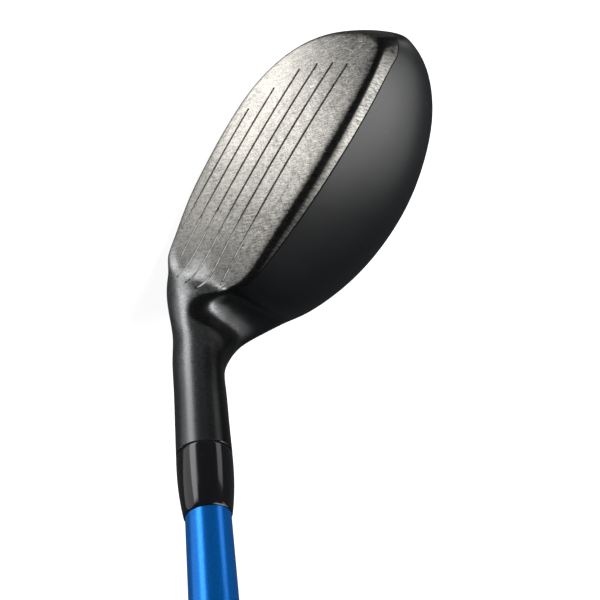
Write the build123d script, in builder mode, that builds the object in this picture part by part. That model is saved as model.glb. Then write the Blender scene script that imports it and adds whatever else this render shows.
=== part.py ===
from build123d import *
from math import cos, pi, radians, sin, sqrt
import os

# A right-handed hybrid club standing at address: the face looks along -Y, the shaft rises towards +X.
# The origin is where the sole meets the ground under the head, and lengths are in millimetres.

# Driving dimensions
lie_angle = 60.0
loft_angle = 22.5
club_length = 1016.0
shaft_offset_y = -12.0
axis_ground_x = 36.2

bulge_radius = 374.0
roll_radius = 287.0
face_centre = (-7.3, -15.8, 25.7)
face_thickness = 2.6
heel_runout_x = 43.5
heel_runout_radius = 20.0
neck_guard_start = 22.0
neck_guard_radius = 7.2

score_pitch = 4.45
score_width = 0.6
score_depth = 0.4
score_paint_depth = 0.15
# Toe end and heel end of each score line along X, from the lowest line to the highest one
score_ends = [(-7.2, 31.5), (-15.2, 38.3), (-22.5, 43.1), (-25.6, 42.9), (-27.3, 42.6), (-28.3, 37.6)]
lowest_score_height = -20.0

wall = 1.9
crown_thickness = 1.2
crown_rim_height = 19.0

hosel_top = 71.9
hosel_radius = 6.4
shaft_tip_radius = 4.95
bond_gap = 0.08
shaft_insertion = 38.0
ferrule_length = 15.6
ferrule_end_radius = 5.25
ferrule_band = 3.0
ferrule_end_slope = -0.22

butt_radius = 7.62
shaft_wall = 1.1
tip_wall = 1.6
parallel_tip = 160.0
parallel_butt = 330.0

grip_length = 268.0
grip_mouth_radius = 9.0
grip_cap_radius = 13.4
cap_length = 7.0
vent_radius = 1.5
tape_thickness = 0.35
tape_setback = 2.0

weight_radius = 6.0
weight_length = 7.0
weight_place = (-4.0, 8.0)
socket_depth = 3.0
socket_radius = 2.4
boss_radius = 8.5
boss_height = 9.5
glue_place = (18.0, 4.0)
glue_half_length = 9.0
glue_half_width = 6.0
glue_top = 5.5
plug_length = 5.0
tip_weight_length = 24.0
ring_places = (14.0, 19.0)
ring_width = 1.6
ring_depth = 0.5

# Head sections as (position, top y, top height, rear y, rear height, bottom y, bottom height,
# front y, front height, roundness of the four quarters from top-rear to front-top).
# The first group stands at an X position. The second group fans round the heel by an angle.
fan_pivot = (34.0, 46.0)
toe_tip = (-46.6, 1.5, 18.0)
upright_sections = [
    (-46.0, -0.5, 22.5, 5.5, 17.6, 1.5, 13.2, -2.5, 17.8, 2.0, 2.0, 2.0, 2.0),
    (-44.0, -2.5, 27.8, 9.8, 17.6, 1.5, 9.6, -6.3, 18.4, 2.0, 2.0, 2.0, 2.0),
    (-41.0, -4.5, 31.4, 14.6, 17.5, 1.2, 6.4, -10.8, 19.6, 2.1, 2.0, 2.0, 2.2),
    (-35.0, -6.5, 34.0, 21.0, 17.0, 0.5, 3.6, -18.0, 20.5, 2.2, 2.0, 2.2, 2.4),
    (-25.0, -7.0, 36.0, 26.8, 16.6, -1.0, 1.3, -26.8, 19.0, 2.2, 2.0, 2.4, 2.4),
    (-10.0, -7.2, 37.2, 30.8, 16.5, -3.0, 0.2, -33.0, 17.0, 2.2, 2.0, 3.0, 2.4),
    (7.0, -7.5, 37.0, 30.5, 16.5, -4.0, 0.0, -34.0, 16.0, 2.2, 2.0, 3.0, 2.4),
    (22.0, -8.0, 35.6, 26.4, 16.6, -6.0, 0.7, -33.5, 16.0, 2.2, 2.0, 3.0, 2.4),
    (34.0, -9.0, 33.4, 19.8, 17.0, -9.0, 2.8, -30.6, 16.2, 2.2, 2.0, 3.0, 2.4),
]
fan_sections = [
    (15.0, -10.0, -16.6, 13.3, -24.9, -10.5, -41.6, -24.6, -29.6, 2.1, 2.0, 2.5, 2.2),
    (30.0, -11.3, -19.3, 7.1, -23.2, -11.5, -36.6, -20.8, -28.0, 2.0, 2.0, 2.2, 2.0),
    (45.0, -12.0, -19.6, 1.4, -23.2, -12.0, -32.6, -19.0, -26.0, 2.0, 2.0, 2.0, 2.0),
    (60.0, -12.0, -18.6, -2.3, -24.0, -12.0, -31.6, -18.5, -24.9, 2.0, 2.0, 2.0, 2.0),
]
hosel_start = 53.0
neck_circles = [(47.0, 6.5), (hosel_start, hosel_radius)]

# The crown seam from toe to heel, seen from above, and the opening inside the ledge that bears the crown
seam_points = [(-46.5, -9.0), (-30.0, -5.0), (0.0, -4.2), (25.0, -3.6), (37.5, -3.0)]
opening_outline = [(-37, 0), (-18, -0.5), (5, 0), (27, 1), (31, 6), (20, 16), (0, 22), (-18, 20), (-34, 10)]
# The face plate's outline on the face, from its toe round by the top to its heel
plate_outline = [
    (-24, -3), (-23.5, 2.6), (-15, 6), (5, 6.9), (28, 5.8), (46.5, 3.2), (52.2, -1.8),
    (52, -11.5), (44, -19), (30, -22.5), (8, -23), (-8, -20.5), (-19, -13),
]

# Worked out from the driving dimensions
lie = radians(lie_angle)
loft_tilt = radians(loft_angle)
shaft_dir = Vector(cos(lie), 0, sin(lie))
face_normal = Vector(0, -cos(loft_tilt), sin(loft_tilt))
ferrule_top = hosel_top + ferrule_length
shaft_start = hosel_top - shaft_insertion
shaft_end = club_length - cap_length
grip_start = club_length - grip_length
bore_radius = shaft_tip_radius + bond_gap
points_per_quarter = 6

os.makedirs("parts", exist_ok=True)


def save(builder, label):
    """Label a finished piece and write it."""
    builder.part.label = label
    export_step(builder.part, f"parts/{label}.step")


def shaft_plane(axial):
    """A plane square to the shaft, at a distance along its axis from the ground."""
    origin = Vector(axis_ground_x, shaft_offset_y, 0) + shaft_dir * axial
    return Plane(origin=origin, x_dir=(0, 1, 0), z_dir=shaft_dir)


def profile_plane():
    """The plane through the shaft axis, with x outwards from the axis and y along it."""
    origin = Vector(axis_ground_x, shaft_offset_y, 0)
    return Plane(origin=origin, x_dir=(sin(lie), 0, -cos(lie)), z_dir=(0, -1, 0))


shaft_axis = Axis((axis_ground_x, shaft_offset_y, 0), shaft_dir)


def rounded_section(values, inset):
    """Points of a closed section of four superellipse quarters, drawn in by an inset."""
    top_y, top, rear_y, rear, bottom_y, bottom, front_y, front = values[:8]
    powers = values[8:]
    top -= inset
    bottom += inset
    rear_y -= inset
    front_y += inset
    corners = [(top_y, top), (rear_y, rear), (bottom_y, bottom), (front_y, front)]
    points = []
    for index, power in enumerate(powers):
        start = corners[index]
        end = corners[(index + 1) % 4]
        for step in range(points_per_quarter):
            angle = pi / 2 * step / points_per_quarter
            leave = cos(angle) ** (2 / power)
            reach = sin(angle) ** (2 / power)
            if index % 2 == 0:
                points.append((start[0] + (end[0] - start[0]) * reach, end[1] + (start[1] - end[1]) * leave))
            else:
                points.append((end[0] + (start[0] - end[0]) * leave, start[1] + (end[1] - start[1]) * reach))
    return points


def section_face(plane, points):
    """A closed smooth outline as a sketch on its plane."""
    with BuildSketch(plane) as outline:
        with BuildLine():
            Spline(*points, periodic=True)
        make_face()
    return outline.sketch.face()


def upright_face(section, inset):
    """A section square to X, given with heights above the ground."""
    plane = Plane(origin=(section[0], 0, 0), x_dir=(0, 1, 0), z_dir=(1, 0, 0))
    return section_face(plane, rounded_section(section[1:], inset))


def fan_face(section, inset):
    """A section turned about the pivot above the heel, with heights below that pivot."""
    turn = radians(section[0])
    plane = Plane(
        origin=(fan_pivot[0], 0, fan_pivot[1]), x_dir=(0, 1, 0), z_dir=(cos(turn), 0, sin(turn))
    )
    return section_face(plane, rounded_section(section[1:], inset))


def neck_face(axial, radius):
    """A round section of the neck, with its points in step with the other sections."""
    count = 4 * points_per_quarter
    turns = [2 * pi * step / count for step in range(count)]
    points = [(radius * sin(turn), radius * cos(turn)) for turn in turns]
    return section_face(shaft_plane(axial), points)


def in_front_of_face(level):
    """Everything in front of a level measured outwards from the curved striking face, clear of the neck."""
    sweep = 7.0
    reach = 40.0
    toe_x = -62.0
    axis_point = Vector(*face_centre) - face_normal * roll_radius
    start = radians(loft_angle - sweep)
    start_normal = Vector(0, -cos(start), sin(start))
    plane = Plane(
        origin=axis_point + start_normal * roll_radius,
        x_dir=(1, 0, 0),
        z_dir=(0, -sin(start), -cos(start)),
    )
    heel_x = heel_runout_x - face_centre[0]
    radius = bulge_radius + level
    toe = (toe_x, sqrt(radius**2 - toe_x**2) - bulge_radius)
    heel = (heel_x, sqrt(radius**2 - heel_x**2) - bulge_radius)

    with BuildPart() as band:
        with BuildSketch(plane):
            with BuildLine():
                bulge = ThreePointArc(toe, (0, level), heel)
                runout = JernArc(
                    start=heel, tangent=bulge % 1, radius=heel_runout_radius - level, arc_size=80
                )
                Polyline(runout @ 1, (heel_x + heel_runout_radius, reach), (toe_x, reach), toe)
            make_face()
        revolve(axis=Axis(axis_point, (-1, 0, 0)), revolution_arc=2 * sweep)
        with BuildSketch(shaft_plane(neck_guard_start)):
            Circle(neck_guard_radius)
        extrude(amount=80, mode=Mode.SUBTRACT)
    return band


def head_loft(inset, first, fan_count, necks):
    """The head's outer form, or the same form drawn in by an inset between two stations."""
    outlines = [upright_face(section, inset) for section in upright_sections[first:]]
    outlines += [fan_face(section, inset) for section in fan_sections[:fan_count]]
    outlines += [neck_face(axial, radius) for axial, radius in necks]
    if inset == 0:
        outlines.insert(0, Vertex(*toe_tip))
    with BuildPart() as form:
        loft(sections=outlines)
    return form


def crown_region():
    """The space above the crown's rim and behind the seam, as far as the neck."""
    heel = seam_points[-1]
    with BuildPart() as region:
        with BuildSketch(Plane.XY.offset(crown_rim_height)):
            with BuildLine():
                seam = Spline(*seam_points)
                Polyline(heel, (heel[0], 45), (-60, 45), (-60, seam_points[0][1]), seam @ 0)
            make_face()
        extrude(amount=40)
    return region


def turned(profile_points):
    """A solid turned about the shaft axis from straight profile points (radius, axial)."""
    with BuildPart() as piece:
        with BuildSketch(profile_plane()):
            with BuildLine():
                Polyline(*profile_points, close=True)
            make_face()
        revolve(axis=shaft_axis)
    return piece


def sleeve(inner, outer, start, end):
    """A plain tube about the shaft axis."""
    return turned([(inner, start), (outer, start), (outer, end), (inner, end)])


# Head: outer form, hollow and striking face
head_form = head_loft(0, 0, len(fan_sections), neck_circles)
crown_inside = head_loft(crown_thickness, 0, 1, [])
cavity_form = head_loft(wall, 2, 0, [])
front_zone = in_front_of_face(0.0)
plate_zone = in_front_of_face(-face_thickness)
groove_zone = in_front_of_face(-score_depth)
open_groove_zone = in_front_of_face(-(score_depth - score_paint_depth))

with BuildPart() as outer_solid:
    add(head_form.part)
    extrude(neck_face(hosel_start, hosel_radius), amount=hosel_top - hosel_start)
    add(front_zone.part, mode=Mode.SUBTRACT)

with BuildPart() as cavity:
    add(cavity_form.part)
    add(plate_zone.part, mode=Mode.SUBTRACT)

# Face plate: the curved plate let into the front of the head, with its score lines cut across it
face_axis_plane = Plane(origin=face_centre, x_dir=(1, 0, 0), z_dir=face_normal)

with BuildPart() as plate_prism:
    with BuildSketch(face_axis_plane):
        with BuildLine():
            Spline(*plate_outline, periodic=True)
        make_face()
    extrude(amount=20, both=True)

with BuildPart() as score_boxes:
    for row, (toe_end, heel_end) in enumerate(score_ends):
        height = lowest_score_height + row * score_pitch
        centre = (toe_end + heel_end) / 2 - face_centre[0]
        with BuildSketch(face_axis_plane):
            with Locations((centre, height)):
                SlotOverall(heel_end - toe_end, score_width)
        extrude(amount=8, both=True)

with BuildPart() as score_cuts:
    add(score_boxes.part)
    add(groove_zone.part, mode=Mode.INTERSECT)

with BuildPart() as score_line_paint:
    add(score_cuts.part)
    add(open_groove_zone.part, mode=Mode.SUBTRACT)

with BuildPart() as face_plate:
    add(outer_solid.part)
    add(plate_prism.part, mode=Mode.INTERSECT)
    add(plate_zone.part, mode=Mode.INTERSECT)
    add(score_cuts.part, mode=Mode.SUBTRACT)

# Crown plate: the thin cap behind the seam, resting on a ledge round the head's opening
with BuildPart() as crown_plate:
    add(outer_solid.part)
    add(crown_region().part, mode=Mode.INTERSECT)
    add(crown_inside.part, mode=Mode.SUBTRACT)

# Sole weight: a turned slug with a six-sided socket, its outer end following the sole
with BuildPart() as sole_weight:
    add(outer_solid.part)
    with BuildSketch(Plane.XY.offset(-1)):
        with Locations(weight_place):
            Circle(weight_radius)
    extrude(amount=weight_length + 1, mode=Mode.INTERSECT)
    with BuildSketch(Plane.XY.offset(-1)):
        with Locations(weight_place):
            RegularPolygon(radius=socket_radius, side_count=6)
    extrude(amount=socket_depth + 1, mode=Mode.SUBTRACT)

with BuildPart() as face_pocket:
    add(plate_prism.part)
    add(plate_zone.part, mode=Mode.INTERSECT)

# Head body: the hollow casting with its hosel bore, sole boss, crown ledge and face opening
with BuildPart() as head_body:
    add(outer_solid.part)
    add(cavity.part, mode=Mode.SUBTRACT)
    with BuildSketch(shaft_plane(shaft_start - plug_length)):
        Circle(bore_radius)
    extrude(amount=hosel_top - shaft_start + plug_length + 1, mode=Mode.SUBTRACT)
    with BuildSketch(Plane.XY.offset(wall)):
        with Locations(weight_place):
            Circle(boss_radius)
    extrude(amount=boss_height - wall)
    with BuildSketch(Plane.XY.offset(-1)):
        with Locations(weight_place):
            Circle(weight_radius)
    extrude(amount=weight_length + 1, mode=Mode.SUBTRACT)
    with BuildSketch(Plane.XY.offset(crown_rim_height)):
        with BuildLine():
            Spline(*opening_outline, periodic=True)
        make_face()
    extrude(amount=40, mode=Mode.SUBTRACT)
    add(face_pocket.part, mode=Mode.SUBTRACT)
    add(crown_plate.part, mode=Mode.SUBTRACT)

# Lump of tacky glue on the floor of the hollow, which catches loose crumbs
with BuildPart() as rattle_glue:
    with BuildSketch(Plane.XY):
        with Locations(glue_place):
            Ellipse(glue_half_length, glue_half_width)
    extrude(amount=glue_top)
    add(cavity.part, mode=Mode.INTERSECT)

# Hosel joint: plug, bond line and ferrule
hosel_plug = sleeve(0, bore_radius, shaft_start - plug_length, shaft_start)
hosel_bond = sleeve(shaft_tip_radius, bore_radius, shaft_start, hosel_top)

with BuildPart() as ferrule:
    with BuildSketch(profile_plane()):
        with BuildLine():
            start = (hosel_radius, hosel_top)
            shoulder = (hosel_radius, hosel_top + ferrule_band)
            tip = (ferrule_end_radius, ferrule_top)
            Line(start, shoulder)
            Spline(shoulder, tip, tangents=[(0, 1), (ferrule_end_slope, 1)])
            Polyline(tip, (shaft_tip_radius, ferrule_top), (shaft_tip_radius, hosel_top), start)
        make_face()
    revolve(axis=shaft_axis)

# Shaft: a tapering tube, with the tip weight pushed into its lower end
taper_start = shaft_start + parallel_tip
taper_end = shaft_end - parallel_butt
tip_inner = shaft_tip_radius - tip_wall
butt_inner = butt_radius - shaft_wall
shaft = turned(
    [
        (tip_inner, shaft_start),
        (shaft_tip_radius, shaft_start),
        (shaft_tip_radius, taper_start),
        (butt_radius, taper_end),
        (butt_radius, shaft_end),
        (butt_inner, shaft_end),
        (butt_inner, taper_end),
        (tip_inner, taper_start),
    ]
)
tip_weight = sleeve(0, tip_inner, shaft_start, shaft_start + tip_weight_length)

# Grip: tape, rubber sleeve with two painted rings, and the butt cap with its vent hole
tape_radius = butt_radius + tape_thickness
grip_tape = sleeve(butt_radius, tape_radius, grip_start + tape_setback, shaft_end)


def grip_radius(axial):
    """The grip's outer radius at a place along the shaft."""
    share = (axial - grip_start) / (grip_length - cap_length)
    return grip_mouth_radius + (grip_cap_radius - 0.4 - grip_mouth_radius) * share


def ring_profile(axial):
    """The half-section of one painted ring sunk in the grip."""
    low = (grip_radius(axial), axial)
    high = (grip_radius(axial + ring_width), axial + ring_width)
    return [(low[0] - ring_depth, low[1]), low, high, (high[0] - ring_depth, high[1])]


with BuildPart() as grip_rings:
    for place in ring_places:
        with BuildSketch(profile_plane()):
            with BuildLine():
                Polyline(*ring_profile(grip_start + place), close=True)
            make_face()
    revolve(axis=shaft_axis)

with BuildPart() as grip:
    with BuildSketch(profile_plane()):
        with BuildLine():
            mouth = (grip_mouth_radius, grip_start)
            rim = (grip_radius(shaft_end), shaft_end)
            Polyline((tape_radius, grip_start), mouth, rim, (tape_radius, shaft_end), close=True)
        make_face()
    revolve(axis=shaft_axis)
    add(grip_rings.part, mode=Mode.SUBTRACT)

with BuildPart() as grip_cap:
    with BuildSketch(profile_plane()):
        with BuildLine():
            Polyline(
                (vent_radius, shaft_end),
                (grip_cap_radius, shaft_end),
                (grip_cap_radius, club_length),
                (vent_radius, club_length),
                close=True,
            )
        make_face()
    revolve(axis=shaft_axis)
    fillet(edges().filter_by(GeomType.CIRCLE).sort_by(SortBy.RADIUS)[-1:], radius=0.5)

pieces = {
    "head_body": head_body,
    "face_plate": face_plate,
    "score_line_paint": score_line_paint,
    "crown_plate": crown_plate,
    "sole_weight": sole_weight,
    "rattle_glue": rattle_glue,
    "hosel_plug": hosel_plug,
    "hosel_bond": hosel_bond,
    "ferrule": ferrule,
    "shaft": shaft,
    "tip_weight": tip_weight,
    "grip_tape": grip_tape,
    "grip": grip,
    "grip_rings": grip_rings,
    "grip_cap": grip_cap,
}
for label, builder in pieces.items():
    save(builder, label)
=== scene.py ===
"""Looks for the hybrid golf club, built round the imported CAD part.

The head's skin is worked out from the same sections as the CAD head, then rounded at its edges.
Its heel is blended and smoothed on its own, so it differs from the CAD heel by up to 3.5 mm.
Lengths inside the head functions are millimetres; meshes are written in metres.
"""

import math

import bmesh
import bpy
import numpy as np
from mathutils import Matrix, Vector
from mathutils.bvhtree import BVHTree


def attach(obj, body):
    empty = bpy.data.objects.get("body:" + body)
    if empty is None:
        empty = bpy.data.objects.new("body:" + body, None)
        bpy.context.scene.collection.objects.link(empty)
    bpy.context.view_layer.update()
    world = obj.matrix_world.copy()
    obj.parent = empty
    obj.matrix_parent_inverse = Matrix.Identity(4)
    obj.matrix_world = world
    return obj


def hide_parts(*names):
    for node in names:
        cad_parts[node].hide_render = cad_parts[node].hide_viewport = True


MM = 0.001

# Camera of the reference view
CAMERA_PLACE = Vector((0.02875, -0.10125, 0.19645))
CAMERA_RIGHT = Vector((-0.52035, 0.70769, 0.47792))
CAMERA_DOWN = Vector((0.85296, 0.40379, 0.33077))
CAMERA_FORWARD = Vector((0.04110, 0.57976, -0.81375))
CAMERA_LENS = 42.84
CAMERA_SHIFT = (-0.0129, 0.0506)

# Club
LIE = math.radians(60.0)
LOFT = math.radians(22.5)
SHAFT_DIR = np.array([math.cos(LIE), 0.0, math.sin(LIE)])
AXIS_GROUND = np.array([36.2, -12.0, 0.0])
HOSEL_TOP = 71.9
HOSEL_RADIUS = 6.4
FERRULE_TOP = 87.5
FERRULE_END_RADIUS = 5.25
SHAFT_TIP_RADIUS = 4.95
BUTT_RADIUS = 7.62
CLUB_LENGTH = 1016.0
CAP_LENGTH = 7.0
SHAFT_INSERTION = 38.0
TIP_PARALLEL = 160.0
BUTT_PARALLEL = 330.0
TIP_WALL = 1.6
BUTT_WALL = 1.1
GRIP_START = 748.0
GRIP_MOUTH_RADIUS = 9.0
GRIP_CAP_RADIUS = 13.4
GRIP_RING_PLACES = (14.0, 19.0)
GRIP_RING_WIDTH = 1.6
GRIP_RING_DEPTH = 0.5

# Striking face
BULGE = 374.0
ROLL = 287.0
FACE_CENTRE = np.array([-7.3, -15.8, 25.7])
FACE_UP = np.array([0.0, math.sin(LOFT), math.cos(LOFT)])
FACE_OUT = np.array([0.0, -math.cos(LOFT), math.sin(LOFT)])

# Head sections: the same driving values as the CAD head, with two more rings up the neck
FAN_PIVOT = (34.0, 46.0)
TOE_TIP = (-46.6, 1.5, 18.0)
UPRIGHT = [
    (-46.0, -0.5, 22.5, 5.5, 17.6, 1.5, 13.2, -2.5, 17.8, 2.0, 2.0, 2.0, 2.0),
    (-44.0, -2.5, 27.8, 9.8, 17.6, 1.5, 9.6, -6.3, 18.4, 2.0, 2.0, 2.0, 2.0),
    (-41.0, -4.5, 31.4, 14.6, 17.5, 1.2, 6.4, -10.8, 19.6, 2.1, 2.0, 2.0, 2.2),
    (-35.0, -6.5, 34.0, 21.0, 17.0, 0.5, 3.6, -18.0, 20.5, 2.2, 2.0, 2.2, 2.4),
    (-25.0, -7.0, 36.0, 26.8, 16.6, -1.0, 1.3, -26.8, 19.0, 2.2, 2.0, 2.4, 2.4),
    (-10.0, -7.2, 37.2, 30.8, 16.5, -3.0, 0.2, -33.0, 17.0, 2.2, 2.0, 3.0, 2.4),
    (7.0, -7.5, 37.0, 30.5, 16.5, -4.0, 0.0, -34.0, 16.0, 2.2, 2.0, 3.0, 2.4),
    (22.0, -8.0, 35.6, 26.4, 16.6, -6.0, 0.7, -33.5, 16.0, 2.2, 2.0, 3.0, 2.4),
    (34.0, -9.0, 33.4, 19.8, 17.0, -9.0, 2.8, -30.6, 16.2, 2.2, 2.0, 3.0, 2.4),
]
FANS = [
    (15.0, -10.0, -16.6, 13.3, -24.9, -10.5, -41.6, -24.6, -29.6, 2.1, 2.0, 2.5, 2.2),
    (30.0, -11.3, -19.3, 7.1, -23.2, -11.5, -36.6, -20.8, -28.0, 2.0, 2.0, 2.2, 2.0),
    (45.0, -12.0, -19.6, 1.4, -23.2, -12.0, -32.6, -19.0, -26.0, 2.0, 2.0, 2.0, 2.0),
    (60.0, -12.0, -18.6, -2.3, -24.0, -12.0, -31.6, -18.5, -24.9, 2.0, 2.0, 2.0, 2.0),
]
NECK = [(47.0, 6.5), (53.0, HOSEL_RADIUS), (62.0, HOSEL_RADIUS), (HOSEL_TOP, HOSEL_RADIUS)]
SEAM = [(-46.5, -9.0), (-30.0, -5.0), (0.0, -4.2), (25.0, -3.6), (37.5, -3.0)]
CROWN_RIM = 19.0
CROWN_HEEL = 37.5
SEAM_DEPTH = 0.22

# Face plate and its score lines
SCORE_PITCH = 4.45
SCORE_WIDTH = 0.6
SCORE_DEPTH = 0.4
SCORE_ENDS = [(-7.2, 31.5), (-15.2, 38.3), (-22.5, 43.1), (-25.6, 42.9), (-27.3, 42.6), (-28.3, 37.6)]
LOWEST_SCORE = -20.0
PLATE_OUTLINE = [
    (-24, -3), (-23.5, 2.6), (-15, 6), (5, 6.9), (28, 5.8), (46.5, 3.2), (52.2, -1.8),
    (52, -11.5), (44, -19), (30, -22.5), (8, -23), (-8, -20.5), (-19, -13),
]
PLATE_THICKNESS = 0.5
POCKET_DEPTH = 0.75
POCKET_INSET = 0.35
POCKET_WALL = 0.5

# Heel: how the face runs out to the front of the neck, which the CAD head does in its own way
NECK_GUARD = 5.5
NECK_BLEND = 8.5
NECK_FRONT = -18.5
RUNOUT_START = 22.0
RUNOUT_LENGTH = 16.0
HEEL_STATION = 200
HEEL_SPREAD = 2.6
HEEL_PASSES = 60

# Head grid and mesh clean-up
RING_COUNT = 340
RING_POINTS = 720
CROWN_ROWS = 110
BODY_ROWS = 270
END_RINGS = 8
WELD_GAP = 0.002

# Sole weight
WEIGHT_RADIUS = 6.0
WEIGHT_PLACE = (-4.0, 8.0)
WEIGHT_RECESS = 1.2
SOLE_HEIGHT = 8.0

FLOOR_REACH = 4.0
FLOOR_LEVEL = -0.0003


def make_camera():
    """The camera of the reference view."""
    data = bpy.data.cameras.new("camera")
    data.sensor_width = 36.0
    data.lens = CAMERA_LENS
    data.shift_x, data.shift_y = CAMERA_SHIFT
    data.clip_start = 0.005
    data.clip_end = 20.0
    camera = bpy.data.objects.new("camera", data)
    turn = Matrix((CAMERA_RIGHT, -CAMERA_DOWN, -CAMERA_FORWARD)).transposed()
    camera.matrix_world = Matrix.Translation(CAMERA_PLACE) @ turn.to_4x4()
    bpy.context.scene.collection.objects.link(camera)
    bpy.context.scene.camera = camera
    return camera


# ---------------------------------------------------------------- curves


def cubic_spline(knots, values, places):
    """A natural cubic spline through rows of values, read at other places."""
    knots = np.asarray(knots, float)
    values = np.asarray(values, float)
    flat = values.reshape(len(knots), -1)
    gap = np.diff(knots)
    count = len(knots)
    system = np.eye(count)
    right = np.zeros_like(flat)
    for i in range(1, count - 1):
        system[i, i - 1 : i + 2] = gap[i - 1], 2 * (gap[i - 1] + gap[i]), gap[i]
        right[i] = 6 * ((flat[i + 1] - flat[i]) / gap[i] - (flat[i] - flat[i - 1]) / gap[i - 1])
    bend = np.linalg.solve(system, right)
    span = np.clip(np.searchsorted(knots, places, side="right") - 1, 0, count - 2)
    width = gap[span][:, None]
    high = (places - knots[span])[:, None] / width
    low = 1 - high
    read = low * flat[span] + high * flat[span + 1]
    read += ((low**3 - low) * bend[span] + (high**3 - high) * bend[span + 1]) * width**2 / 6
    return read.reshape((len(places),) + values.shape[1:])


def closed_spline(points, count):
    """Evenly read points of a smooth closed curve."""
    points = np.asarray(points, float)
    wrapped = np.concatenate([points[-3:], points, points[:4]])
    knots = np.arange(len(wrapped)) - 3.0
    places = np.linspace(0, len(points), count, endpoint=False)
    return cubic_spline(knots, wrapped, places)


def seam_y(x):
    """The crown seam's y at each x."""
    seam = np.array(SEAM)
    inside = np.clip(x, seam[0, 0], seam[-1, 0])
    return cubic_spline(seam[:, 0], seam[:, 1], np.atleast_1d(inside))


# ---------------------------------------------------------------- head form


def quarter_points(values, per_quarter):
    """Closed section of four superellipse quarters: top, rear, bottom, front."""
    top_y, top, rear_y, rear, bottom_y, bottom, front_y, front = values[:8]
    corners = [(top_y, top), (rear_y, rear), (bottom_y, bottom), (front_y, front)]
    angle = np.arange(per_quarter) / per_quarter * math.pi / 2
    pieces = []
    for index, power in enumerate(values[8:]):
        start = corners[index]
        end = corners[(index + 1) % 4]
        leave = np.cos(angle) ** (2 / power)
        reach = np.sin(angle) ** (2 / power)
        if index % 2 == 0:
            piece = (start[0] + (end[0] - start[0]) * reach, end[1] + (start[1] - end[1]) * leave)
        else:
            piece = (end[0] + (start[0] - end[0]) * leave, start[1] + (end[1] - start[1]) * reach)
        pieces.append(np.stack(piece, -1))
    return np.concatenate(pieces)


def head_stations(per_quarter):
    """The head's sections as rings of points in space, from the toe tip to the top of the hosel."""
    rings = [np.tile(np.array(TOE_TIP), (4 * per_quarter, 1))]
    for section in UPRIGHT:
        flat = quarter_points(section[1:], per_quarter)
        rings.append(np.stack([np.full(len(flat), section[0]), flat[:, 0], flat[:, 1]], -1))
    for section in FANS:
        turn = math.radians(section[0])
        flat = quarter_points(section[1:], per_quarter)
        up = np.array([-math.sin(turn), 0, math.cos(turn)])
        pivot = np.array([FAN_PIVOT[0], 0, FAN_PIVOT[1]])
        rings.append(pivot + flat[:, :1] * np.array([0, 1, 0]) + flat[:, 1:] * up)
    turns = np.arange(4 * per_quarter) / (4 * per_quarter) * 2 * math.pi
    up = np.array([-math.sin(LIE), 0, math.cos(LIE)])
    for axial, radius in NECK:
        centre = AXIS_GROUND + axial * SHAFT_DIR
        ring = centre + radius * np.cos(turns)[:, None] * up
        rings.append(ring + radius * np.sin(turns)[:, None] * np.array([0, 1, 0]))
    return np.array(rings)


def face_level_y(x, z):
    """The y of the curved striking face at each x and z."""
    height = (z - FACE_CENTRE[2]) / math.cos(LOFT)
    for _ in range(3):
        drop = (x - FACE_CENTRE[0]) ** 2 / (2 * BULGE) + height**2 / (2 * ROLL)
        height = (z - FACE_CENTRE[2] + math.sin(LOFT) * drop) / math.cos(LOFT)
    return FACE_CENTRE[1] + height * math.sin(LOFT) + math.cos(LOFT) * drop


def ease(share):
    """A smooth step from 0 to 1."""
    share = np.clip(share, 0, 1)
    return share * share * (3 - 2 * share)


def held_behind_face(rings):
    """The head's form cut back to the face, which runs out to the front of the neck and leaves it whole."""
    x, y, z = rings[..., 0], rings[..., 1], rings[..., 2]
    face = face_level_y(x, z)
    runout = ease((x - z / math.tan(LIE) - RUNOUT_START) / RUNOUT_LENGTH)
    limit = face + (np.minimum(face, NECK_FRONT) - face) * runout
    across = (x - AXIS_GROUND[0]) * math.sin(LIE) - z * math.cos(LIE)
    away = np.hypot(across, y - AXIS_GROUND[1]) - NECK_GUARD
    held = rings.copy()
    held[..., 1] = y + (np.maximum(y, limit) - y) * ease(away / NECK_BLEND)
    return held


def even_ring(ring, count, start=0.0):
    """A closed ring read again at even steps of its length."""
    closed = np.concatenate([ring, ring[:1]])
    length = np.concatenate([[0], np.cumsum(np.linalg.norm(np.diff(closed, axis=0), axis=1))])
    if length[-1] < 1e-9:
        return np.tile(ring[0], (count, 1))
    places = (start + np.arange(count) / count) % 1.0 * length[-1]
    return np.stack([np.interp(places, length, closed[:, k]) for k in range(3)], -1)


def smoothed_ring(ring, spread):
    """A ring with its corners rounded by an even smoothing along its length."""
    count = len(ring)
    length = np.linalg.norm(np.diff(ring, axis=0, append=ring[:1]), axis=1).sum()
    step = max(length / count, 1e-6)
    frequency = np.fft.rfftfreq(count, d=step)
    damp = np.exp(-2 * (math.pi * frequency * spread) ** 2)
    return np.fft.irfft(np.fft.rfft(ring, axis=0) * damp[:, None], n=count, axis=0)


def rounded_ring(ring):
    """A ring rounded along its edges: broadly along the face's top edge, more tightly elsewhere."""
    small = np.ptp(ring, axis=0).max() * 0.03
    tight = smoothed_ring(ring, min(1.25, small))
    broad = smoothed_ring(ring, min(2.2, small))
    high = ease((ring[:, 2:] - 23.0) / 6.0) * ease((36.0 - ring[:, :1]) / 10.0)
    return tight + (broad - tight) * high


def station_places(rings):
    """Where each station lies along the head, closer together near the ends."""
    gap = np.linalg.norm(np.diff(rings, axis=0), axis=2).mean(1)
    return np.concatenate([[0], np.cumsum(np.sqrt(gap))])


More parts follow.
